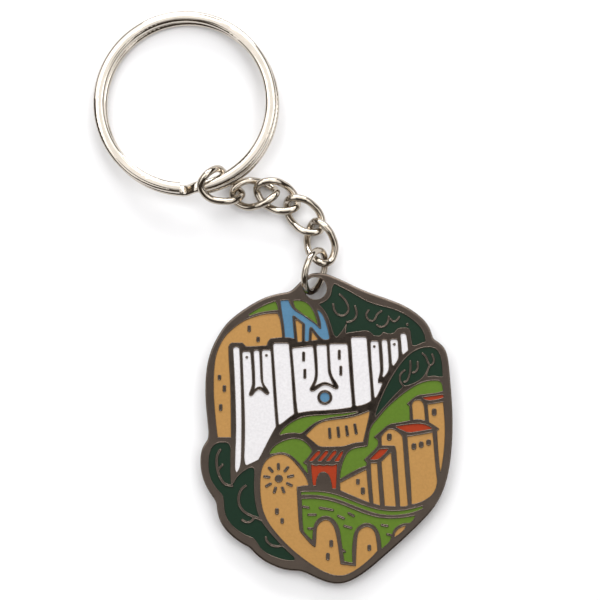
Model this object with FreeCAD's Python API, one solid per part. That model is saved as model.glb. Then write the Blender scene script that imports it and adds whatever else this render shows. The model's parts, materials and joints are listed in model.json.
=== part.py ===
import FreeCAD, Part
import math
import os

# Keychain: an enamelled metal charm on a jump ring, five curb links and a split ring.
# Millimetres. X runs to the right, Y up the charm, Z up from the table that the keychain lies on.
# The artwork's outlines are in the charm's own frame, whose origin is the centre of its hole.

# ---- charm ----
plate_thickness = 2.0
pocket_depth = 0.55
enamel_below_lines = 0.12
hole_radius = 1.85
rim_round = 0.3
line_width = 0.3
charm_hole_x = 6.94
charm_hole_y = 1.57
charm_tilt = 1.65

# ---- jump ring ----
jump_ring_radius = 3.45
jump_ring_wire = 0.55
jump_ring_x = -0.15
jump_ring_y = 2.75
jump_ring_z = 3.7
jump_ring_heading = 75.0
jump_ring_lean = 25.5

# ---- curb links ----
link_wire = 0.6
link_twist = -50.0
link_half_length = 3.6
link_half_width = 2.35
first_link_half_length = 4.0
first_link_half_width = 2.8

# ---- split ring ----
split_ring_radius = 14.05
split_ring_band = 1.85
split_ring_coil_height = 1.24
split_ring_gap = 0.06
split_ring_turn_offset = 0.5
split_ring_offset_angle = -45.0
split_ring_cut_angle = -93.0
split_ring_ramp = 12.0
split_ring_end_overlap = 3.0
split_ring_x = -21.2
split_ring_y = 30.1
split_ring_tilt = 4.5
split_ring_high_side = -62.0
split_ring_underside = 0.12

UP = FreeCAD.Vector(0, 0, 1)


def vec(x, y, z=0.0):
    return FreeCAD.Vector(x, y, z)


# ------------------------------------------------------------------ flat outlines

def tangent_lengths(points, radii, closed):
    """How far from each corner its arc starts."""
    count = len(points)
    lengths = []
    for i in range(count):
        if not closed and i in (0, count - 1):
            lengths.append(0.0)
            continue
        before = (points[i - 1] - points[i]).Length
        after = (points[(i + 1) % count] - points[i]).Length
        longest = 0.5 * min(before, after)
        a = (points[i - 1] - points[i]).normalize()
        b = (points[(i + 1) % count] - points[i]).normalize()
        half = 0.5 * a.getAngle(b)
        wanted = longest
        if radii[i] is not None:
            wanted = radii[i] / math.tan(half)
        lengths.append(min(wanted, longest))
    return lengths


def rounded_edges(points, radii, closed=True):
    """Straight runs joined by arcs that are tangent to both."""
    count = len(points)
    lengths = tangent_lengths(points, radii, closed)
    edges = []
    start = None
    first = None
    for i in range(count):
        corner = points[i]
        if lengths[i] < 1e-6:
            begin = corner
            end = corner
        else:
            a = (points[i - 1] - corner).normalize()
            b = (points[(i + 1) % count] - corner).normalize()
            begin = corner + a * lengths[i]
            end = corner + b * lengths[i]
        if start is not None and (begin - start).Length > 1e-5:
            edges.append(Part.LineSegment(start, begin).toShape())
        if first is None:
            first = begin
        if (end - begin).Length > 1e-6:
            half = 0.5 * a.getAngle(b)
            if math.pi / 2 - half < 0.004:
                edges.append(Part.LineSegment(begin, end).toShape())
            else:
                middle_way = (a + b).normalize()
                radius = lengths[i] * math.tan(half)
                reach = lengths[i] / math.cos(half) - radius
                edges.append(Part.Arc(begin, corner + middle_way * reach, end).toShape())
        start = end
    if closed and (first - start).Length > 1e-5:
        edges.append(Part.LineSegment(start, first).toShape())
    return edges


def outline(corners):
    """A face inside a closed outline. A corner is (x, y), rounded as far as its
    sides allow, or (x, y, radius)."""
    points = [vec(c[0], c[1]) for c in corners]
    radii = [c[2] if len(c) > 2 else None for c in corners]
    return Part.Face(Part.Wire(rounded_edges(points, radii)))


def stroke(path, width=line_width):
    """A raised line with round ends along a path of points."""
    points = [vec(p[0], p[1]) for p in path]
    last = len(points) - 1
    left = []
    right = []
    for i in range(len(points)):
        if i == 0:
            along = (points[1] - points[0]).normalize()
        elif i == last:
            along = (points[last] - points[last - 1]).normalize()
        else:
            along = (points[i + 1] - points[i - 1]).normalize()
        across = UP.cross(along) * (0.5 * width)
        left.append((points[i] + across, None))
        right.append((points[i] - across, None))
    first_way = (points[0] - points[1]).normalize() * (0.45 * width)
    last_way = (points[last] - points[last - 1]).normalize() * (0.45 * width)
    cap = 0.44 * width
    left[0] = (left[0][0] + first_way, cap)
    right[0] = (right[0][0] + first_way, cap)
    left[last] = (left[last][0] + last_way, cap)
    right[last] = (right[last][0] + last_way, cap)
    loop = left + right[::-1]
    corners = [(p.x, p.y) if r is None else (p.x, p.y, r) for p, r in loop]
    return outline(corners)


def slot(x, y, width, height, lean=0.0):
    """A small upright window with round ends."""
    tip = vec(math.sin(math.radians(lean)), math.cos(math.radians(lean)))
    half = 0.5 * height - 0.45 * width
    return stroke([(x - tip.x * half, y - tip.y * half), (x + tip.x * half, y + tip.y * half)], width)


def disc(x, y, radius):
    return Part.Face(Part.Wire(Part.makeCircle(radius, vec(x, y))))


def ring_of_rays(x, y, inner, outer, count, width):
    rays = []
    for i in range(count):
        angle = 2 * math.pi * i / count + 0.2
        c = math.cos(angle)
        s = math.sin(angle)
        rays.append(stroke([(x + inner * c, y + inner * s), (x + outer * c, y + outer * s)], width))
    return rays


# ------------------------------------------------------------------ charm artwork

CHARM_OUTLINE = [
    (0.3, 2.55), (1.7, 2.4), (3.2, 1.8), (4.8, 1.1), (6.4, 0.3), (8.2, -0.5), (10.2, -1.2),
    (12.2, -1.9), (13.9, -2.55), (15.4, -3.35), (16.8, -4.35), (17.9, -5.4), (18.6, -6.5),
    (18.95, -7.6), (19.2, -8.25), (20.0, -8.75), (20.8, -9.45), (21.35, -10.5), (21.65, -11.9),
    (21.85, -14.0), (22.1, -17.0), (22.3, -20.0), (22.35, -23.0), (22.2, -26.2), (21.8, -29.5),
    (21.1, -32.3), (20.1, -34.6), (18.7, -36.6), (16.6, -38.8), (14.1, -41.2), (11.6, -43.4),
    (9.1, -45.6), (7.1, -47.05), (5.4, -47.95), (3.8, -48.3), (2.2, -48.1), (0.4, -47.45),
    (-1.4, -46.55), (-2.4, -46.15), (-3.5, -46.1), (-5.1, -45.95), (-6.9, -45.3), (-8.6, -44.4),
    (-9.9, -43.3), (-10.8, -42.25), (-11.9, -41.75), (-13.4, -40.7), (-14.8, -39.3),
    (-15.65, -37.9), (-16.05, -36.4), (-16.15, -35.1), (-16.5, -34.4), (-17.2, -33.4),
    (-17.9, -32.2), (-18.45, -30.8), (-18.75, -29.3), (-18.8, -27.6), (-18.55, -26.2),
    (-18.0, -25.2), (-17.55, -24.6), (-17.45, -23.6), (-17.6, -21.8), (-17.85, -19.4),
    (-18.0, -16.8), (-17.9, -14.2), (-17.55, -11.8), (-16.9, -9.7), (-15.9, -7.7), (-14.6, -5.8),
    (-13.0, -4.35), (-11.2, -3.1), (-9.4, -2.0), (-7.6, -1.25), (-5.8, -0.8), (-4.4, -0.6),
    (-3.6, -0.1), (-2.6, 0.95), (-1.7, 1.85), (-0.8, 2.4),
]

# Each enamel cell: name, outline, and the marks of bare metal that stand inside it.
CELLS = [
    ("enamel_hill_crown", [
        (-10.9, -4.25, 0.1), (-9.5, -3.35), (-8.0, -2.6), (-6.55, -2.1, 0.15), (-6.25, -2.6),
        (-6.05, -3.5, 0.15), (-7.5, -3.65), (-9.3, -3.95), (-10.8, -4.5, 0.1)], []),
    ("enamel_arch", [
        (-11.0, -4.95), (-9.3, -4.4), (-7.8, -4.1), (-6.2, -4.1, 0.3), (-5.8, -4.9),
        (-5.55, -6.4), (-5.4, -7.95, 0.2), (-7.3, -8.15, 0.2), (-7.75, -8.6), (-7.95, -9.3, 0.2),
        (-9.5, -9.4), (-11.3, -9.45, 0.3), (-11.9, -8.85, 0.25), (-13.7, -8.85, 0.3),
        (-14.15, -9.3), (-14.15, -11.0), (-13.95, -14.0), (-13.8, -18.0), (-13.75, -24.25, 0.1),
        (-15.95, -24.25, 0.1), (-16.15, -22.7), (-16.4, -20.2), (-16.6, -17.5), (-16.6, -14.0),
        (-16.35, -11.4), (-15.75, -9.5), (-14.7, -7.7), (-13.4, -6.5), (-12.2, -5.6)],
        [slot(-10.8, -6.55, 0.5, 1.05), slot(-9.35, -8.3, 0.5, 0.85),
         slot(-15.65, -14.5, 0.5, 0.85), slot(-14.85, -16.3, 0.5, 1.1),
         slot(-15.45, -19.4, 0.5, 1.1)]),
    ("enamel_river", [
        (-5.75, -2.0, 0.15), (-4.4, -1.9, 0.3), (-4.1, -2.7), (-3.5, -3.55), (-2.0, -4.4),
        (-0.6, -5.25), (0.85, -6.7, 0.1), (0.85, -5.6), (0.5, -4.4), (0.15, -3.35, 0.1),
        (0.9, -3.9), (1.5, -5.0), (2.0, -6.6), (2.3, -8.2, 0.3), (1.5, -8.45), (0.75, -8.0),
        (-0.1, -6.95), (-0.75, -6.15), (-1.0, -6.5), (-1.1, -8.55, 0.3), (-1.75, -8.7, 0.3),
        (-1.8, -8.1), (-1.75, -5.8, 0.2), (-3.8, -4.2, 0.2), (-3.6, -6.4), (-3.45, -8.25, 0.15),
        (-4.1, -8.0), (-5.0, -8.0, 0.15), (-5.15, -6.0), (-5.5, -4.0)], []),
    ("enamel_left_pillar", [
        (-3.35, -4.95, 0.2), (-2.2, -5.8, 0.15), (-2.2, -8.6, 0.15), (-2.95, -8.75, 0.15),
        (-3.1, -7.0)], []),
    ("enamel_small_pier", [
        (-0.6, -6.95, 0.1), (0.45, -8.35, 0.15), (-0.7, -8.5, 0.1)], []),
    ("enamel_hill_by_river", [
        (-3.7, -2.0, 0.2), (-2.4, -1.95), (-1.3, -2.4), (-0.5, -3.4), (0.05, -4.7),
        (0.4, -5.95, 0.1), (-1.3, -4.8), (-3.35, -3.15, 0.1)], []),
    ("enamel_canopy", [
        (0.55, -2.6, 0.05), (1.85, -2.0), (2.55, -1.0), (2.65, 0.1), (3.0, 0.75, 0.2),
        (4.5, 0.0), (6.1, -0.85), (8.0, -2.0), (10.0, -2.75), (12.0, -3.2), (13.6, -3.75),
        (15.1, -4.6), (16.4, -5.6), (17.35, -6.7), (17.8, -7.8), (17.9, -8.65, 0.1),
        (17.0, -9.0), (16.3, -9.3), (15.75, -9.3, 0.1), (15.5, -8.0), (15.4, -6.9),
        (15.1, -6.45), (14.2, -6.4), (13.3, -6.5), (12.9, -7.1), (12.4, -7.4), (11.6, -7.35),
        (10.95, -7.05), (10.8, -7.4), (10.4, -7.75), (9.5, -7.75), (8.9, -7.1), (8.3, -6.85),
        (6.8, -7.0), (4.9, -7.3, 0.1), (5.1, -5.5, 0.05), (4.6, -6.5), (4.1, -7.2),
        (3.45, -7.95, 0.1), (2.95, -7.6), (2.65, -6.5), (2.2, -5.0), (1.5, -3.6)],
        [stroke([(3.9, -1.0), (4.8, -1.8), (5.35, -2.9), (5.35, -3.8), (4.6, -4.5),
                 (3.7, -4.4), (3.05, -3.7), (2.85, -2.6)]),
         stroke([(6.4, -2.9), (6.75, -4.0), (6.5, -4.9), (5.8, -5.4), (5.1, -5.5)]),
         stroke([(8.6, -3.6), (8.15, -4.2), (8.4, -5.0), (9.2, -5.45), (9.75, -4.9),
                 (9.95, -4.2), (10.7, -3.7)]),
         stroke([(11.9, -4.6), (11.8, -5.5), (11.2, -6.2), (10.5, -6.35), (10.0, -6.0)]),
         stroke([(12.2, -5.0), (12.6, -5.45), (13.1, -5.3), (13.6, -4.7)]),
         disc(14.9, -5.9, 0.2)]),
    ("enamel_leaf", [
        (9.6, -21.1, 0.1), (9.95, -19.8), (10.6, -18.1), (11.5, -16.1), (12.6, -14.1),
        (13.8, -12.3), (15.1, -10.85), (16.4, -10.0), (17.6, -9.6), (18.9, -9.55),
        (19.8, -10.0), (20.35, -11.0), (20.6, -12.4), (20.7, -14.4, 0.1), (20.0, -14.4),
        (19.2, -14.2), (18.2, -14.4, 0.1), (18.1, -13.4, 0.05), (17.7, -14.1), (17.0, -14.9),
        (16.2, -15.35), (15.1, -15.75, 0.1), (14.25, -15.95, 0.1), (13.2, -17.0),
        (11.8, -18.5), (10.6, -19.9)],
        [stroke([(14.5, -13.35), (13.9, -13.75), (13.65, -14.5), (13.8, -15.3), (14.5, -16.1)]),
         stroke([(14.4, -15.25), (14.85, -15.15), (15.2, -14.4), (15.45, -13.2), (15.4, -11.85)]),
         stroke([(15.8, -13.75), (16.3, -13.6), (16.65, -13.0), (16.6, -12.0)]),
         stroke([(17.4, -10.6), (18.0, -11.15), (18.25, -12.0), (18.65, -12.6), (19.1, -12.3),
                 (19.3, -11.6), (18.95, -10.75)]),
         stroke([(18.55, -12.6), (18.3, -13.1), (18.1, -13.7)])]),
    ("enamel_undergrowth", [
        (-15.9, -25.1), (-16.9, -25.8), (-17.35, -27.0), (-17.5, -28.6), (-17.35, -30.2),
        (-16.9, -31.5), (-16.1, -32.7), (-15.2, -33.6), (-14.95, -34.5), (-14.9, -36.0),
        (-14.6, -37.2), (-13.9, -38.4), (-12.6, -39.5), (-11.2, -40.35), (-10.1, -40.65),
        (-9.6, -41.4), (-8.9, -42.5), (-7.8, -43.3), (-6.3, -43.95), (-4.6, -44.4),
        (-3.45, -44.4, 0.15), (-3.4, -43.95, 0.1), (-5.0, -42.5), (-6.6, -40.8), (-7.9, -39.3),
        (-8.9, -37.9), (-9.5, -36.4), (-9.9, -34.5), (-10.05, -32.0), (-9.95, -30.2),
        (-10.0, -29.3), (-10.6, -29.15), (-11.8, -29.8), (-12.9, -30.9), (-13.4, -31.8),
        (-13.75, -32.15, 0.15), (-13.85, -30.5), (-13.85, -27.0), (-13.8, -25.9),
        (-14.3, -25.1)],
        [stroke([(-15.55, -26.35), (-16.05, -27.1), (-16.15, -28.4), (-15.95, -29.8),
                 (-15.5, -31.0), (-14.8, -32.0), (-13.6, -32.2)], 0.4),
         stroke([(-15.15, -28.75), (-15.9, -29.6)], 0.34),
         stroke([(-11.4, -32.2), (-12.1, -32.7), (-12.55, -33.8), (-12.55, -35.0),
                 (-12.1, -36.0), (-11.3, -36.7), (-10.2, -37.2), (-8.9, -37.7)], 0.4),
         stroke([(-11.95, -37.8), (-11.2, -38.2), (-10.5, -38.05), (-9.9, -37.3)], 0.36),
         stroke([(-8.1, -40.6), (-8.0, -41.2), (-7.4, -41.8), (-6.5, -42.15), (-5.2, -41.9)],
                0.36)]),
    ("enamel_hill_crescent", [
        (-6.0, -23.95, 0.1), (-5.5, -23.1), (-4.6, -22.3), (-3.4, -21.5), (-2.2, -21.0),
        (-0.8, -20.75), (2.0, -20.6), (5.0, -20.35), (7.2, -20.05, 0.05), (6.2, -20.45),
        (4.6, -20.75), (2.8, -20.95), (1.2, -21.3), (0.0, -21.8), (-1.0, -22.5),
        (-1.9, -23.35), (-2.5, -23.65), (-3.6, -23.5), (-4.8, -23.6)], []),
    ("enamel_hill_rounded", [
        (-7.6, -27.0, 0.1), (-7.1, -26.1), (-6.2, -25.3), (-5.0, -24.75), (-3.8, -24.45),
        (-2.7, -24.5), (-1.7, -25.0), (-0.95, -25.8), (-0.55, -26.5, 0.2), (-0.9, -27.1),
        (-1.55, -27.9), (-2.05, -28.4, 0.1), (-1.4, -28.8, 0.1), (-1.3, -29.5),
        (-1.2, -30.35, 0.05), (-2.0, -29.3), (-2.9, -28.2), (-3.8, -27.35), (-4.7, -26.85),
        (-5.7, -26.65), (-6.7, -26.9)], []),
    ("enamel_meadow", [
        (3.95, -31.1, 0.1), (4.0, -30.0), (4.25, -28.9), (4.6, -27.8), (5.2, -26.7),
        (6.1, -26.1), (7.5, -25.85), (8.45, -25.75, 0.3), (8.65, -24.2), (8.8, -23.1),
        (9.25, -22.2), (10.1, -21.2), (11.4, -19.6), (13.2, -17.95), (15.1, -16.5),
        (17.0, -15.4), (18.6, -15.0), (20.0, -15.0), (20.6, -15.5), (20.75, -16.7, 0.1),
        (19.6, -17.05), (18.0, -17.2), (16.5, -17.4), (15.6, -18.1), (14.85, -18.8, 0.05),
        (15.3, -19.2, 0.1), (15.35, -21.5, 0.1), (13.6, -21.85), (11.9, -22.1),
        (10.8, -23.1), (9.5, -24.2, 0.05), (10.15, -24.7, 0.1), (10.25, -25.5), (9.3, -26.6),
        (7.9, -27.9, 0.05), (8.35, -28.4, 0.1), (8.3, -28.9, 0.1), (7.0, -29.35),
        (5.6, -30.1)], []),
    ("enamel_road", [
        (-2.4, -33.2, 0.1), (0.0, -33.1), (2.0, -33.3), (4.0, -33.85), (6.0, -34.65),
        (8.0, -35.45), (10.0, -36.05), (12.0, -36.35), (14.0, -36.3), (16.0, -35.9),
        (17.4, -35.5, 0.05), (17.5, -35.85, 0.05), (16.0, -36.5), (14.0, -36.9),
        (12.0, -37.0), (10.0, -36.75), (8.0, -36.1), (6.0, -35.3), (4.0, -34.5),
        (2.0, -33.9), (0.0, -33.65), (-2.4, -33.65, 0.1)], []),
    ("enamel_bridge", [
        (-2.3, -34.3, 0.2), (0.0, -34.25), (2.0, -34.5), (4.0, -35.1), (6.0, -35.95),
        (8.0, -36.75), (10.0, -37.35), (12.0, -37.55), (14.0, -37.45), (16.3, -37.05, 0.1),
        (15.9, -37.8), (15.4, -38.25, 0.1), (14.3, -38.3), (13.4, -38.7), (12.75, -39.3),
        (12.45, -40.2), (12.25, -41.0), (11.8, -41.6), (10.75, -42.5, 0.1), (10.6, -41.0),
        (10.35, -39.8), (9.8, -38.9), (9.1, -38.4), (8.3, -38.2), (7.5, -38.45), (6.7, -39.1),
        (6.25, -40.0), (6.05, -41.5), (5.95, -43.0), (6.05, -44.8, 0.1), (4.65, -44.5, 0.1),
        (4.45, -43.0), (4.15, -41.0), (3.95, -39.4), (3.5, -38.3), (2.8, -37.5), (2.0, -37.1),
        (1.2, -37.1), (0.4, -37.55), (-0.15, -38.3), (-0.4, -39.3), (-0.5, -41.1, 0.05),
        (-1.3, -40.4), (-2.0, -39.6), (-2.15, -38.0), (-2.2, -36.0)],
        [stroke([(-2.0, -35.6), (-1.15, -35.75)], 0.36), stroke([(-1.15, -36.9), (0.0, -36.9)], 0.36),
         stroke([(0.7, -35.8), (1.8, -35.95), (2.8, -36.15)], 0.36),
         stroke([(3.7, -37.1), (4.6, -37.5)], 0.36), stroke([(5.4, -36.65), (6.2, -37.1)], 0.36),
         stroke([(4.7, -38.75), (5.8, -39.05)], 0.36), stroke([(10.8, -38.6), (11.7, -38.75)], 0.36),
         stroke([(11.7, -40.1), (12.7, -40.35)], 0.34), stroke([(-1.15, -39.15), (-0.3, -39.2)], 0.34),
         stroke([(4.3, -42.55), (4.75, -42.95)], 0.34)]),
    ("enamel_terrace", [
        (-1.6, -23.95, 0.1), (-0.9, -23.2), (0.2, -22.15), (1.5, -21.6), (3.2, -21.35),
        (5.0, -21.15), (6.8, -20.75), (8.1, -20.25), (8.85, -19.95, 0.15), (8.5, -21.7),
        (8.15, -23.2), (7.75, -25.0, 0.1), (6.2, -25.15), (4.6, -25.75), (2.6, -25.8),
        (0.6, -25.8), (-0.4, -24.95)],
        [slot(2.3, -23.6, 0.42, 1.8, -4), slot(3.7, -23.4, 0.42, 1.8, -6),
         slot(5.1, -23.2, 0.42, 1.8, -8), slot(6.5, -22.9, 0.42, 1.8, -10)]),
    ("enamel_sun_hill", [
        (-6.0, -27.0), (-4.9, -27.1), (-4.0, -27.7), (-3.0, -28.8), (-2.0, -30.1),
        (-1.45, -31.0), (-1.1, -32.1, 0.15), (-2.0, -32.15), (-3.05, -32.35, 0.1),
        (-2.95, -34.5), (-2.75, -38.0), (-2.6, -39.5), (-2.1, -40.15), (-0.9, -41.6),
        (-0.05, -42.25, 0.1), (0.1, -41.0), (0.1, -39.6), (0.3, -38.6), (1.0, -37.95),
        (1.7, -37.7), (2.4, -38.0), (3.0, -38.8), (3.35, -40.0), (3.7, -42.0), (3.95, -44.0),
        (4.1, -45.0, 0.1), (6.55, -45.3, 0.1), (6.6, -43.0), (6.75, -40.6), (7.0, -39.6),
        (7.6, -39.05), (8.4, -38.8), (9.2, -39.1), (9.7, -39.8), (10.0, -41.3),
        (10.1, -42.8, 0.15), (9.0, -44.0), (7.5, -45.3), (6.0, -46.3), (4.6, -46.85),
        (3.2, -46.85), (1.6, -46.35), (0.0, -45.5), (-2.0, -44.1), (-4.2, -42.3),
        (-6.2, -40.2), (-7.8, -38.1), (-8.7, -36.0), (-9.05, -33.5), (-9.05, -31.0),
        (-8.8, -29.3), (-8.1, -28.0), (-7.1, -27.3)],
        ring_of_rays(-6.0, -31.0, 1.6, 2.35, 9, 0.42) + [
            disc(-6.0, -31.0, 0.62), slot(-6.3, -36.35, 0.55, 1.05), slot(-5.45, -37.9, 0.5, 0.9),
            slot(2.55, -41.6, 0.55, 1.15), slot(2.0, -43.75, 0.55, 1.2), slot(8.75, -42.3, 0.55, 1.0)]),
    ("enamel_far_arch", [
        (12.8, -40.6, 0.1), (12.9, -39.9), (13.4, -39.25), (14.1, -38.85), (14.8, -38.7, 0.1),
        (14.4, -39.4), (13.6, -40.1)], []),
    ("enamel_house_low", [
        (3.95, -31.7, 0.15), (6.0, -30.65), (8.3, -29.5, 0.2), (8.5, -32.0),
        (8.8, -34.95, 0.1), (6.5, -34.0), (4.0, -32.9, 0.15)],
        [slot(6.9, -31.5, 0.55, 0.95), slot(7.7, -33.0, 0.6, 1.15)]),
    ("enamel_house_narrow", [
        (8.95, -28.5, 0.15), (10.05, -28.5, 0.15), (10.2, -31.0), (10.55, -35.4, 0.1),
        (9.4, -35.05, 0.1), (9.1, -31.5)], []),
    ("enamel_house_middle", [
        (10.7, -28.25, 0.1), (11.5, -27.4), (12.3, -26.65, 0.15), (12.45, -28.5),
        (12.85, -32.5), (13.1, -35.55, 0.1), (11.25, -35.45, 0.1), (10.95, -31.5)], []),
    ("enamel_tower_front", [
        (10.75, -25.6, 0.1), (10.7, -24.1, 0.2), (11.4, -23.25), (12.1, -22.85),
        (12.8, -23.0), (13.7, -23.55), (14.15, -24.15), (14.3, -26.0), (14.6, -30.0),
        (14.95, -34.0), (15.05, -35.35, 0.1), (14.4, -35.6), (13.75, -35.5, 0.1),
        (13.45, -31.0), (13.1, -26.3), (12.9, -25.65, 0.2)],
        [slot(12.0, -24.2, 0.72, 1.15)]),
    ("enamel_tower_side", [
        (14.9, -24.15, 0.1), (17.0, -23.85), (19.05, -23.45, 0.1), (19.3, -26.0),
        (19.6, -29.5), (19.85, -31.5), (19.6, -32.7), (18.9, -33.8), (17.6, -34.65),
        (16.3, -35.1), (15.65, -35.2, 0.1), (15.45, -31.0), (15.15, -27.5)],
        [slot(16.0, -25.75, 0.72, 1.05), slot(17.2, -25.45, 0.72, 1.0),
         slot(18.4, -25.1, 0.72, 0.95)]),
    ("enamel_turret", [
        (15.65, -18.9), (15.95, -18.35), (16.6, -18.15), (17.25, -18.3), (17.6, -18.9),
        (17.75, -20.0), (17.85, -21.55, 0.1), (17.1, -21.35), (16.4, -21.3),
        (15.85, -21.4, 0.1), (15.75, -20.0)], []),
    ("enamel_house_right", [
        (18.2, -18.9, 0.1), (19.5, -18.75), (20.75, -18.5, 0.1), (20.95, -20.5),
        (21.1, -23.0), (21.0, -25.5), (20.8, -27.5), (20.5, -29.3), (20.3, -30.1, 0.05),
        (20.15, -28.8), (19.9, -26.0), (19.75, -23.2, 0.1), (20.15, -22.9, 0.1),
        (19.3, -22.3), (18.45, -21.8, 0.1), (18.3, -20.3)],
        [slot(19.3, -20.15, 0.72, 1.15)]),
    ("enamel_roof_tower", [
        (12.85, -22.5, 0.1), (14.5, -22.25), (16.0, -22.05), (17.4, -22.05), (18.3, -22.35),
        (19.1, -22.85, 0.1), (17.5, -23.15), (16.0, -23.4), (15.1, -23.5), (14.0, -23.05)], []),
    ("enamel_roof_middle", [
        (8.75, -27.9, 0.1), (9.6, -27.05), (10.4, -26.25, 0.3), (11.9, -26.1, 0.1),
        (11.45, -26.75), (10.5, -27.65), (9.9, -27.95)], []),
    ("enamel_roof_right", [
        (17.3, -17.8, 0.05), (18.5, -17.6), (19.8, -17.45), (20.75, -17.3, 0.1),
        (20.85, -17.75, 0.1), (19.8, -18.1), (18.6, -18.25), (17.9, -18.15)], []),
    ("enamel_gate", [
        (-0.75, -28.65, 0.1), (0.0, -28.95), (0.6, -28.75), (1.25, -28.95), (1.9, -28.75),
        (2.6, -28.95), (3.5, -28.65, 0.1), (3.45, -30.5), (3.35, -32.65, 0.1),
        (2.7, -32.65, 0.1), (2.55, -31.5), (2.2, -30.4), (1.4, -29.8), (0.6, -30.05),
        (0.15, -31.0), (0.05, -32.15, 0.1), (-0.45, -32.1, 0.1), (-0.65, -30.5)], []),
    ("enamel_gate_tile_1", [
        (-1.15, -28.15, 0.1), (-0.5, -28.15, 0.2), (0.75, -26.9), (0.8, -26.5, 0.2),
        (0.35, -26.5), (-0.05, -26.85)], []),
    ("enamel_gate_tile_2", [
        (0.25, -28.15, 0.1), (0.95, -28.15, 0.2), (2.05, -26.85), (2.05, -26.5, 0.2),
        (1.65, -26.45), (1.3, -26.8)], []),
    ("enamel_gate_tile_3", [
        (1.6, -28.15, 0.1), (2.25, -28.15, 0.2), (3.4, -26.85), (3.45, -26.5, 0.2),
        (3.05, -26.4), (2.7, -26.75)], []),
    ("enamel_gate_tile_4", [
        (3.0, -28.2, 0.1), (3.8, -28.2, 0.15), (4.45, -26.9), (4.5, -26.45, 0.2),
        (4.1, -26.65)], []),
    ("enamel_slab_1", [
        (-13.45, -9.55, 0.45), (-12.4, -9.55, 0.45), (-12.2, -14.0), (-12.05, -20.0),
        (-12.05, -24.5), (-12.15, -28.2), (-12.4, -29.4), (-12.9, -30.1, 0.15),
        (-13.15, -29.4), (-13.1, -27.0), (-12.95, -23.0), (-13.1, -16.0)], []),
    ("enamel_slab_wide_left", [
        (-11.95, -10.3, 0.35), (-10.6, -10.3, 0.35), (-10.35, -13.5), (-10.3, -15.6),
        (-10.5, -16.3), (-10.9, -17.3), (-10.55, -17.6), (-10.15, -17.3), (-9.8, -16.75),
        (-9.2, -16.45), (-8.7, -16.7), (-8.15, -17.2), (-7.8, -17.35), (-7.5, -17.05),
        (-7.75, -16.5), (-8.3, -15.75), (-8.55, -15.2), (-8.65, -13.0), (-8.75, -10.05, 0.35),
        (-7.3, -10.05, 0.35), (-7.05, -14.0), (-6.8, -18.0), (-6.45, -22.5, 0.2),
        (-7.4, -24.2), (-8.4, -26.2), (-9.3, -27.9, 0.3), (-10.3, -28.4), (-11.4, -28.9, 0.3),
        (-11.65, -27.8), (-11.5, -24.0), (-11.55, -20.0), (-11.75, -15.0)],
        [disc(-11.2, -11.2, 0.19), disc(-8.0, -10.9, 0.19)]),
    ("enamel_column_left", [
        (-10.1, -10.1, 0.35), (-9.15, -10.1, 0.35), (-9.0, -13.0), (-8.9, -15.2),
        (-8.5, -16.2, 0.05), (-9.2, -15.9), (-9.95, -16.4, 0.05), (-9.85, -15.6),
        (-9.9, -13.5)], []),
    ("enamel_slab_2", [
        (-6.95, -8.95, 0.4), (-4.35, -8.95, 0.4), (-3.95, -13.5), (-3.75, -17.0),
        (-3.5, -20.45, 0.3), (-4.3, -21.0), (-5.2, -21.75), (-6.0, -22.3, 0.2),
        (-6.2, -20.0), (-6.5, -15.5), (-6.75, -12.0)], []),
    ("enamel_slab_wide_right", [
        (-3.85, -9.75, 0.3), (-0.4, -9.4, 0.4), (-0.2, -11.5), (-0.05, -13.8), (-0.2, -14.9),
        (-0.6, -15.7), (-1.0, -16.4), (-0.75, -16.8), (-0.3, -16.75), (0.4, -16.3),
        (1.0, -15.85), (1.6, -15.7), (2.3, -15.9), (3.15, -16.4), (3.6, -16.4), (3.75, -16.0),
        (3.4, -15.3), (2.8, -14.5), (2.45, -13.5), (2.2, -9.05, 0.35), (5.2, -9.05, 0.4),
        (5.4, -12.0), (5.6, -15.0), (5.85, -17.5), (5.95, -19.3, 0.25), (4.0, -19.65),
        (1.5, -19.85), (-1.0, -19.95), (-2.9, -20.3, 0.2), (-3.15, -18.5), (-3.4, -15.0),
        (-3.7, -11.5)],
        [disc(1.5, -17.75, 1.2), slot(-1.95, -11.1, 0.42, 1.6), slot(-1.75, -13.9, 0.42, 1.6),
         slot(3.85, -10.8, 0.42, 1.6), slot(4.1, -13.4, 0.42, 1.6)]),
    ("enamel_window", None, []),
    ("enamel_column_right", [
        (0.1, -9.25, 0.35), (1.8, -9.2, 0.35), (1.95, -12.0), (2.05, -13.8), (2.45, -14.8),
        (2.9, -15.75, 0.05), (2.2, -15.4), (1.5, -15.2), (0.8, -15.4), (-0.2, -15.95, 0.05),
        (0.15, -15.2), (0.35, -14.2), (0.3, -12.0)], []),
    ("enamel_slab_3", [
        (5.7, -7.95, 0.4), (8.3, -7.95, 0.45), (8.6, -12.0), (8.95, -16.0), (9.05, -18.3, 0.3),
        (8.0, -18.9), (6.5, -19.2, 0.3), (6.3, -17.0), (6.05, -13.0)], []),
    ("enamel_slab_4", [
        (8.9, -8.6, 0.35), (10.2, -8.6, 0.35), (10.4, -11.0), (10.55, -13.6), (10.15, -14.9),
        (10.2, -15.4, 0.1), (10.9, -15.4, 0.15), (10.4, -16.7), (9.95, -17.6),
        (9.7, -17.9, 0.15), (9.5, -17.4), (9.35, -15.5), (9.05, -12.0)],
        [disc(9.55, -9.45, 0.19)]),
    ("enamel_slab_5", [
        (10.7, -8.4, 0.35), (11.65, -8.4, 0.4), (11.85, -11.0), (11.95, -12.9),
        (11.7, -13.75), (11.05, -14.5, 0.1), (10.85, -14.25, 0.1), (11.0, -13.5),
        (10.95, -11.5)], []),
    ("enamel_slab_6", [
        (12.1, -8.3, 0.35), (13.35, -8.3, 0.4), (13.5, -10.4), (13.5, -11.3), (13.15, -12.0),
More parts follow.
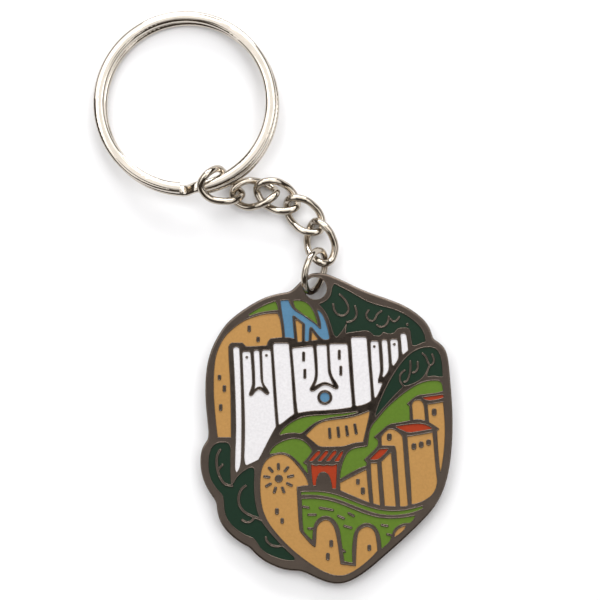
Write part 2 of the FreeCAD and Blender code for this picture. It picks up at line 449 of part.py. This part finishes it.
        (12.65, -12.65, 0.1), (12.4, -12.3), (12.25, -10.5)],
        [disc(12.8, -9.1, 0.19)]),
    ("enamel_slab_7", [
        (13.75, -7.35, 0.35), (14.7, -7.35, 0.45), (14.95, -8.7), (15.05, -10.1, 0.15),
        (14.2, -10.8, 0.1), (14.0, -10.3), (13.9, -8.8)], []),
]


def charm_placement():
    """The charm lies on its lower tip, propped up at its hole by the jump ring's wire."""
    tip = vec(0.0, -48.3, 0.0)
    turn = FreeCAD.Rotation(vec(1, 0, 0), charm_tilt)
    rest = tip - turn.multVec(tip) + vec(charm_hole_x, charm_hole_y)
    return FreeCAD.Placement(rest, turn)


def make_charm():
    plate = outline(CHARM_OUTLINE).extrude(UP * plate_thickness)
    edges = [e for e in plate.Edges if e.BoundBox.ZLength < 1e-6]
    plate = plate.makeFillet(rim_round, edges)
    plate = plate.cut(Part.makeCylinder(hole_radius, 3 * plate_thickness, vec(0, 0, -plate_thickness)))
    floor = plate_thickness - pocket_depth
    pockets = []
    fills = []
    for name, corners, marks in CELLS:
        if corners is None:
            cell = disc(1.5, -17.75, 0.8)
        else:
            cell = outline(corners)
        if marks:
            cell = cell.cut(marks)
        cell.translate(UP * floor)
        pockets.append(cell.extrude(UP * (pocket_depth + 1.0)))
        fills.append((name, cell.extrude(UP * (pocket_depth - enamel_below_lines))))
    plate = plate.cut(pockets)
    return [("charm_plate", plate)] + fills


# ------------------------------------------------------------------ wire pieces

def wire_tube(points, radius):
    """A closed loop of round wire: each bend is a piece of torus and each run a cylinder."""
    pieces = []
    for edge in rounded_edges(points, [None] * len(points)):
        start = edge.Vertexes[0].Point
        along = edge.tangentAt(edge.FirstParameter)
        face = Part.Face(Part.Wire(Part.makeCircle(radius, start, along)))
        if isinstance(edge.Curve, Part.Circle):
            turn = math.degrees(edge.LastParameter - edge.FirstParameter)
            pieces.append(face.revolve(edge.Curve.Center, edge.Curve.Axis, turn))
        else:
            pieces.append(face.extrude(edge.Vertexes[-1].Point - start))
    tube = pieces[0].fuse(pieces[1:])
    return tube.removeSplitter()


def curb_link(half_length, half_width):
    """A curb link: an oval of round wire, twisted about its length."""
    corners = 8
    swell = 1.0 / math.cos(math.pi / corners)
    points = []
    for i in range(corners):
        angle = 2 * math.pi * (i + 0.5) / corners
        x = swell * half_length * math.cos(angle)
        y = swell * half_width * math.sin(angle)
        twist = math.radians(link_twist) * math.cos(angle) * swell
        points.append(vec(x, y * math.cos(twist), y * math.sin(twist)))
    return wire_tube(points, link_wire)


def link_placement(x, y, z, heading, slope, roll):
    turn = FreeCAD.Rotation(UP, heading)
    turn = turn.multiply(FreeCAD.Rotation(vec(0, 1, 0), -slope))
    turn = turn.multiply(FreeCAD.Rotation(vec(1, 0, 0), roll))
    return FreeCAD.Placement(vec(charm_hole_x + x, charm_hole_y + y, z), turn)


# Where each link lies: centre from the charm's hole, height, heading, slope and roll.
LINKS = [
    ("chain_link_1", -15.3, 16.56, 3.7, -15.5, -37.6, -22.6),
    ("chain_link_2", -9.97, 15.38, 1.8, 2.4, 3.0, -17.2),
    ("chain_link_3", -6.25, 14.97, 1.75, -26.4, -4.2, -2.8),
    ("chain_link_4", -1.86, 11.87, 1.7, -44.0, 1.8, 3.8),
    ("chain_link_5", 0.76, 7.41, 2.2, -74.0, 8.4, 11.6),
]


def make_links():
    first = curb_link(first_link_half_length, first_link_half_width)
    other = curb_link(link_half_length, link_half_width)
    made = []
    for name, x, y, z, heading, slope, roll in LINKS:
        link = (first if name == "chain_link_1" else other).copy()
        link.Placement = link_placement(x, y, z, heading, slope, roll)
        made.append((name, link))
    return made


def make_jump_ring():
    """The ring stands steeply, through the charm's hole and round the strip above it."""
    ring = Part.makeTorus(jump_ring_radius, jump_ring_wire)
    turn = FreeCAD.Rotation(UP, jump_ring_heading)
    turn = turn.multiply(FreeCAD.Rotation(vec(1, 0, 0), 90 - jump_ring_lean))
    spot = vec(charm_hole_x + jump_ring_x, charm_hole_y + jump_ring_y, jump_ring_z)
    ring.Placement = FreeCAD.Placement(spot, turn)
    return [("jump_ring", ring)]


def ring_section(angle, centre, level):
    """The wire's domed section across one turn of the split ring, at one angle."""
    c = math.cos(math.radians(angle))
    s = math.sin(math.radians(angle))
    dome = [(0, 1), (0.68, 0.84), (1, 0.34)]
    half = dome + [(x, -y) for x, y in reversed(dome)]
    section = half + [(-x, y) for x, y in reversed(half[1:-1])]
    points = []
    for across, up in section:
        reach = split_ring_radius + across * 0.5 * split_ring_band
        rise = up * 0.5 * split_ring_coil_height
        points.append(vec(centre.x + reach * c, centre.y + reach * s, level + rise))
    return Part.Wire(rounded_edges(points, [None] * len(points)))


def make_split_ring():
    """Two turns of flattened wire. A short ramp takes the lower turn up to the upper one,
    beside the cut end of the upper turn."""
    away = math.radians(split_ring_offset_angle)
    upper_centre = vec(0, 0)
    lower_centre = vec(math.cos(away), math.sin(away)) * split_ring_turn_offset
    low = 0.5 * split_ring_coil_height
    high = low + split_ring_coil_height + split_ring_gap
    ramp_end = split_ring_cut_angle + split_ring_ramp
    upper = Part.Face(ring_section(ramp_end, upper_centre, high))
    upper = upper.revolve(upper_centre, UP, 360 - split_ring_ramp)
    lower_end = ramp_end + split_ring_end_overlap
    lower = Part.Face(ring_section(lower_end, lower_centre, low))
    lower = lower.revolve(lower_centre, UP, 360 - split_ring_ramp - split_ring_end_overlap)
    steps = 4
    sections = []
    for i in range(steps + 1):
        way = i / steps
        rise = 0.5 - 0.5 * math.cos(math.pi * way)
        centre = lower_centre * (1 - rise) + upper_centre * rise
        angle = split_ring_cut_angle + split_ring_ramp * way
        sections.append(ring_section(angle, centre, low + (high - low) * rise))
    ramp = Part.makeLoft(sections, True)
    ring = upper.fuse([ramp, lower])
    side = math.radians(split_ring_high_side)
    turn = FreeCAD.Rotation(vec(math.sin(side), -math.cos(side), 0), split_ring_tilt)
    outer = split_ring_radius + 0.5 * split_ring_band
    height = outer * math.sin(math.radians(split_ring_tilt)) - split_ring_underside
    spot = vec(charm_hole_x + split_ring_x, charm_hole_y + split_ring_y, height)
    ring.Placement = FreeCAD.Placement(spot, turn)
    return [("split_ring", ring)]


def main():
    os.makedirs("parts", exist_ok=True)
    pieces = make_split_ring() + make_links() + make_jump_ring()
    for name, shape in make_charm():
        shape.Placement = charm_placement()
        pieces.append((name, shape))
    for name, shape in pieces:
        shape.exportStep("parts/" + name + ".step")
        print(name, len(shape.Solids), shape.isValid(), round(shape.Volume, 3))


main()
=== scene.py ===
import json
import math

import bmesh
import bpy
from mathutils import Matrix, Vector


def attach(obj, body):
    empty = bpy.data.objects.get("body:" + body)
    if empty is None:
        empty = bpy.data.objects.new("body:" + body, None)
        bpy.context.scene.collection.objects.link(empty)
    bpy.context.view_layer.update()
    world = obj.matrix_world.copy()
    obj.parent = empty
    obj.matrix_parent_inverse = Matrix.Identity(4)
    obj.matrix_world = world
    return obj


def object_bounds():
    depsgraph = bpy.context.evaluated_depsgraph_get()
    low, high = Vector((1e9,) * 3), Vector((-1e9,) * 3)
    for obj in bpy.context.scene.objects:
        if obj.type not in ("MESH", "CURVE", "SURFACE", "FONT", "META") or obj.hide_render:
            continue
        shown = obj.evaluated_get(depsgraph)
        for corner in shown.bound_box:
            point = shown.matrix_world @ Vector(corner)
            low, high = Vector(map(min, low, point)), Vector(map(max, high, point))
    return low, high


# A keychain lying flat on a white table, seen from straight above. Metres.
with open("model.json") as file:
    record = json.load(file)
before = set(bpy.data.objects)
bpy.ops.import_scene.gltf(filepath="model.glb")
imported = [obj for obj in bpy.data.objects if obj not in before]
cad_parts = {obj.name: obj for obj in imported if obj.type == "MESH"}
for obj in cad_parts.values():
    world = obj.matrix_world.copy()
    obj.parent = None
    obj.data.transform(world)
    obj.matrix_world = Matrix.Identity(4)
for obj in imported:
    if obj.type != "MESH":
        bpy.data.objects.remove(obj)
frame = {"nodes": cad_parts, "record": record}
cad_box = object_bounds()

MM = 0.001

# ---- camera and table ----
VIEW_WIDTH = 97.6 * MM
VIEW_CENTRE = (4.4 * MM, -0.4 * MM)
VIEW_LEVEL = 3.0 * MM
LENS = 150.0
SENSOR = 36.0
CLIP_NEAR = 0.01
CLIP_FAR = 10.0
TABLE_SIZE = 2.0
TABLE_GAP = 0.02 * MM

# ---- light ----
WORLD_COLOUR = (0.062, 0.051, 0.042)
LIGHT_DISTANCE = 0.5
# name, azimuth from +Y towards +X, elevation, width, height, radiance
SOFT_BOXES = [
    ("overhead_back", 0.0, 72.0, 0.50, 0.27, 1.40),
    ("overhead_front", 180.0, 83.0, 0.22, 0.18, 0.60),
    ("key_top_left", -38.0, 48.0, 0.50, 0.38, 1.80),
    ("top_right", 44.0, 48.0, 0.46, 0.38, 1.45),
    ("side_left", -102.0, 50.0, 0.40, 0.30, 1.35),
    ("side_right", 104.0, 50.0, 0.40, 0.30, 1.25),
    ("strip_top", 4.0, 24.0, 0.56, 0.10, 10.5),
    ("low_front", 180.0, 14.0, 0.50, 0.14, 0.45),
]
# a dark oval under the overhead boxes: the shape of a camera, for the metal to mirror
LENS_SPOT = (0.0119, -0.0567, 0.47)
LENS_SPOT_RADII = (0.036, 0.021)
LENS_SPOT_CORNERS = 48

# ---- finishes: linear colours, and noise as (spots to a metre, detail) ----
ENAMELS = {
    "enamel_tan": (0.445, 0.240, 0.074),
    "enamel_light_green": (0.102, 0.184, 0.019),
    "enamel_dark_green": (0.0085, 0.027, 0.0145),
    "enamel_blue": (0.090, 0.216, 0.346),
    "enamel_red": (0.345, 0.037, 0.009),
    "enamel_white": (0.745, 0.732, 0.748),
}
# name, colour, least and most roughness, ripples to a metre, depth of the ripples
PLATINGS = [
    ("ring_metal", (0.62, 0.565, 0.495), 0.05, 0.12, 1800.0, 0.004 * MM),
    ("chain_metal", (0.50, 0.445, 0.375), 0.07, 0.16, 2200.0, 0.010 * MM),
    ("charm_metal", (0.145, 0.115, 0.094), 0.09, 0.15, 2600.0, 0.002 * MM),
]
TABLE_DARK = (0.945, 0.948, 0.965)
TABLE_LIGHT = (0.955, 0.958, 0.972)
METAL_TINT = (350.0, 5.0)
METAL_HAZE = (900.0, 6.0)
METAL_RIPPLE_DETAIL = 3.0
ENAMEL_GRAIN = (2600.0, 3.0)
ENAMEL_WAVE = (500.0, 2.0)
ENAMEL_WAVE_DEPTH = 0.01 * MM
TABLE_TINT = (12.0, 2.0)
# noise runs from its first tone or value to its second between these
NOISE_LOW = 0.3
NOISE_HIGH = 0.7

# ---- raised metal lines: the rounded lip along every edge ----
LIP_RADIUS = 0.10 * MM
LIP_SINK = 0.6
LIP_SIDES = 8
LIP_LEAST_CORNERS = 4
FLAT_ENOUGH = 0.004 * MM
SAME_PLACE = 0.001 * MM
# cosines of the angle between a face and the way up
UPPER_FACE = 0.9
SAME_WAY = 0.9998
WALL_FACE = 0.5


# ------------------------------------------------------------------ materials

def new_material(name):
    material = bpy.data.materials.new(name)
    material.use_nodes = True
    return material, material.node_tree.nodes, material.node_tree.links


def noise(nodes, links, scale, detail):
    """Noise in the object's own space. Scale is in spots to a metre."""
    place = nodes.new("ShaderNodeTexCoord")
    texture = nodes.new("ShaderNodeTexNoise")
    texture.inputs["Scale"].default_value = scale
    texture.inputs["Detail"].default_value = detail
    links.new(place.outputs["Object"], texture.inputs["Vector"])
    return texture.outputs["Fac"]


def scaled(colour, factor):
    return tuple(c * factor for c in colour)


def mottle(nodes, links, fac, dark, light):
    """A colour that wanders between two close tones."""
    ramp = nodes.new("ShaderNodeValToRGB")
    ramp.color_ramp.elements[0].position = NOISE_LOW
    ramp.color_ramp.elements[1].position = NOISE_HIGH
    ramp.color_ramp.elements[0].color = (*dark, 1.0)
    ramp.color_ramp.elements[1].color = (*light, 1.0)
    links.new(fac, ramp.inputs["Fac"])
    return ramp.outputs["Color"]


def spread(nodes, links, fac, low, high):
    """A value that wanders between two limits."""
    remap = nodes.new("ShaderNodeMapRange")
    remap.inputs["From Min"].default_value = NOISE_LOW
    remap.inputs["From Max"].default_value = NOISE_HIGH
    remap.inputs["To Min"].default_value = low
    remap.inputs["To Max"].default_value = high
    links.new(fac, remap.inputs["Value"])
    return remap.outputs["Result"]


def relief(nodes, links, fac, shader, strength, depth):
    bump = nodes.new("ShaderNodeBump")
    bump.inputs["Strength"].default_value = strength
    bump.inputs["Distance"].default_value = depth
    links.new(fac, bump.inputs["Height"])
    links.new(bump.outputs["Normal"], shader.inputs["Normal"])


def metal(name, colour, rough_low, rough_high, ripples, depth):
    """Plated metal: slightly uneven tone, hazy patches and very shallow ripples."""
    material, nodes, links = new_material(name)
    shader = nodes["Principled BSDF"]
    shader.inputs["Metallic"].default_value = 1.0
    tint = noise(nodes, links, *METAL_TINT)
    tone = mottle(nodes, links, tint, scaled(colour, 0.90), scaled(colour, 1.06))
    links.new(tone, shader.inputs["Base Color"])
    haze = noise(nodes, links, *METAL_HAZE)
    links.new(spread(nodes, links, haze, rough_low, rough_high), shader.inputs["Roughness"])
    ripple = noise(nodes, links, ripples, METAL_RIPPLE_DETAIL)
    relief(nodes, links, ripple, shader, 0.35, depth)
    return material


def enamel(name, colour):
    """Soft enamel: fine pigment grain under a smooth, slightly wavy surface."""
    material, nodes, links = new_material(name)
    shader = nodes["Principled BSDF"]
    shader.inputs["Roughness"].default_value = 0.32
    shader.inputs["Specular IOR Level"].default_value = 0.16
    shader.inputs["Coat Weight"].default_value = 0.08
    shader.inputs["Coat Roughness"].default_value = 0.06
    grain = noise(nodes, links, *ENAMEL_GRAIN)
    tone = mottle(nodes, links, grain, scaled(colour, 0.93), scaled(colour, 1.05))
    links.new(tone, shader.inputs["Base Color"])
    wave = noise(nodes, links, *ENAMEL_WAVE)
    relief(nodes, links, wave, shader, 0.25, ENAMEL_WAVE_DEPTH)
    return material


def table_material():
    material, nodes, links = new_material("table_white")
    shader = nodes["Principled BSDF"]
    shader.inputs["Roughness"].default_value = 0.85
    shader.inputs["Specular IOR Level"].default_value = 0.2
    tint = noise(nodes, links, *TABLE_TINT)
    links.new(mottle(nodes, links, tint, TABLE_DARK, TABLE_LIGHT), shader.inputs["Base Color"])
    return material


def make_materials():
    made = {name: enamel(name, colour) for name, colour in ENAMELS.items()}
    for plating in PLATINGS:
        made[plating[0]] = metal(*plating)
    return made


# ------------------------------------------------------------------ object

def add_mesh(name, verts, faces, material):
    mesh = bpy.data.meshes.new(name)
    mesh.from_pydata(verts, [], faces)
    mesh.update()
    mesh.materials.append(material)
    piece = bpy.data.objects.new(name, mesh)
    bpy.context.scene.collection.objects.link(piece)
    return piece


def dress_nodes(materials):
    """Every CAD node gets the finish of its material slot."""
    slot_of = {s["node"]: s["material_slot"] for s in frame["record"]["subparts"]}
    for name, node in frame["nodes"].items():
        node.data.materials.clear()
        node.data.materials.append(materials[slot_of[name]])


def mean_normal(faces):
    return sum((f.normal * f.calc_area() for f in faces), Vector()).normalized()


def face_direction(mesh):
    """The direction that the charm's flat upper faces look in."""
    rough = mean_normal([f for f in mesh.faces if f.normal.z > UPPER_FACE])
    return mean_normal([f for f in mesh.faces if f.normal.dot(rough) > SAME_WAY])


def upper_edges(mesh, up):
    """The sharp edges at the very top, each with the outward normal of the wall below it."""
    top = max(v.co.dot(up) for v in mesh.verts)
    found = []
    for edge in mesh.edges:
        if len(edge.link_faces) != 2 or min(v.co.dot(up) for v in edge.verts) < top - FLAT_ENOUGH:
            continue
        lying = [f for f in edge.link_faces if f.normal.dot(up) > UPPER_FACE]
        walls = [f for f in edge.link_faces if abs(f.normal.dot(up)) < WALL_FACE]
        if len(lying) == 1 and len(walls) == 1:
            found.append((edge, walls[0].normal))
    return found


def top_edge_loops(node):
    """Loops of the plate's upper edges, as corners with the way into the metal, and the way up."""
    mesh = bmesh.new()
    mesh.from_mesh(node.data)
    bmesh.ops.remove_doubles(mesh, verts=mesh.verts, dist=SAME_PLACE)
    mesh.normal_update()
    up = face_direction(mesh)
    inward = {}
    neighbours = {}
    for edge, outward in upper_edges(mesh, up):
        for vert in edge.verts:
            inward.setdefault(vert, Vector())
            inward[vert] -= outward
            neighbours.setdefault(vert, []).append(edge.other_vert(vert))
    loops = []
    waiting = {v for v in neighbours if len(neighbours[v]) == 2}
    for start in sorted(waiting, key=lambda v: v.index):
        loop = []
        vert = start
        while vert in waiting:
            waiting.discard(vert)
            loop.append((vert.co.copy(), inward[vert].normalized()))
            vert = next((v for v in neighbours[vert] if v in waiting), None)
        if len(loop) >= LIP_LEAST_CORNERS:
            loops.append(loop)
    mesh.free()
    return loops, up


def make_lips(material):
    """Polishing rounds the raised lines: a fine lip of the same metal along each of their edges."""
    loops, up = top_edge_loops(frame["nodes"]["charm_plate"])
    verts = []
    faces = []
    for loop in loops:
        first = len(verts)
        count = len(loop)
        for place, inward in loop:
            middle = place + (inward - up) * (LIP_SINK * LIP_RADIUS)
            for k in range(LIP_SIDES):
                turn = 2.0 * math.pi * k / LIP_SIDES
                verts.append(middle + (inward * math.cos(turn) + up * math.sin(turn)) * LIP_RADIUS)
        for i in range(count):
            here = first + i * LIP_SIDES
            there = first + (i + 1) % count * LIP_SIDES
            for k in range(LIP_SIDES):
                after = (k + 1) % LIP_SIDES
                faces.append((here + k, there + k, there + after, here + after))
    lips = add_mesh("charm_line_lips", verts, faces, material)
    lips.data.polygons.foreach_set("use_smooth", [True] * len(lips.data.polygons))
    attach(lips, "charm")


# ------------------------------------------------------------------ stage

def soft_box(name, azimuth, elevation, width, height, radiance):
    """A soft box that faces the middle of the table and keeps the same radiance at any size."""
    data = bpy.data.lights.new(name, "AREA")
    data.shape = "RECTANGLE"
    data.size = width
    data.size_y = height
    data.energy = radiance * math.pi * width * height
    light = bpy.data.objects.new(name, data)
    bpy.context.scene.collection.objects.link(light)
    turn = math.radians(azimuth)
    rise = math.radians(elevation)
    place = Vector((math.sin(turn) * math.cos(rise), math.cos(turn) * math.cos(rise), math.sin(rise)))
    light.location = place * LIGHT_DISTANCE
    light.rotation_euler = (-place).to_track_quat("-Z", "Y").to_euler()
    light.visible_camera = False


def make_lights():
    world = bpy.data.worlds.new("studio")
    bpy.context.scene.world = world
    world.use_nodes = True
    world.node_tree.nodes["Background"].inputs["Color"].default_value = (*WORLD_COLOUR, 1.0)
    for box in SOFT_BOXES:
        soft_box(*box)


def make_lens_spot():
    """The camera's dark shape. It isn't in view and casts no shadow, so only reflections show it."""
    material, nodes, _ = new_material("lens_black")
    shader = nodes["Principled BSDF"]
    shader.inputs["Base Color"].default_value = (0.0, 0.0, 0.0, 1.0)
    shader.inputs["Specular IOR Level"].default_value = 0.0
    wide, deep = LENS_SPOT_RADII
    turns = [2.0 * math.pi * i / LENS_SPOT_CORNERS for i in range(LENS_SPOT_CORNERS)]
    corners = [(wide * math.cos(turn), deep * math.sin(turn), 0.0) for turn in turns]
    spot = add_mesh("lens_spot", corners, [tuple(range(LENS_SPOT_CORNERS))], material)
    spot.location = LENS_SPOT
    spot.visible_camera = False
    spot.visible_shadow = False


def make_table(material):
    half = 0.5 * TABLE_SIZE
    corners = [(-half, -half, 0), (half, -half, 0), (half, half, 0), (-half, half, 0)]
    table = add_mesh("table", corners, [(0, 1, 2, 3)], material)
    table.location.z = cad_box[0].z - TABLE_GAP


def make_camera():
    data = bpy.data.cameras.new("camera")
    data.lens = LENS
    data.sensor_width = SENSOR
    data.clip_start = CLIP_NEAR
    data.clip_end = CLIP_FAR
    camera = bpy.data.objects.new("camera", data)
    bpy.context.scene.collection.objects.link(camera)
    distance = VIEW_WIDTH * LENS / SENSOR
    camera.location = (*VIEW_CENTRE, distance + cad_box[0].z + VIEW_LEVEL)
    bpy.context.scene.camera = camera


bpy.context.scene.view_settings.view_transform = "Standard"
make_camera()
make_lights()
make_lens_spot()
make_table(table_material())
materials = make_materials()
dress_nodes(materials)
make_lips(materials["charm_metal"])
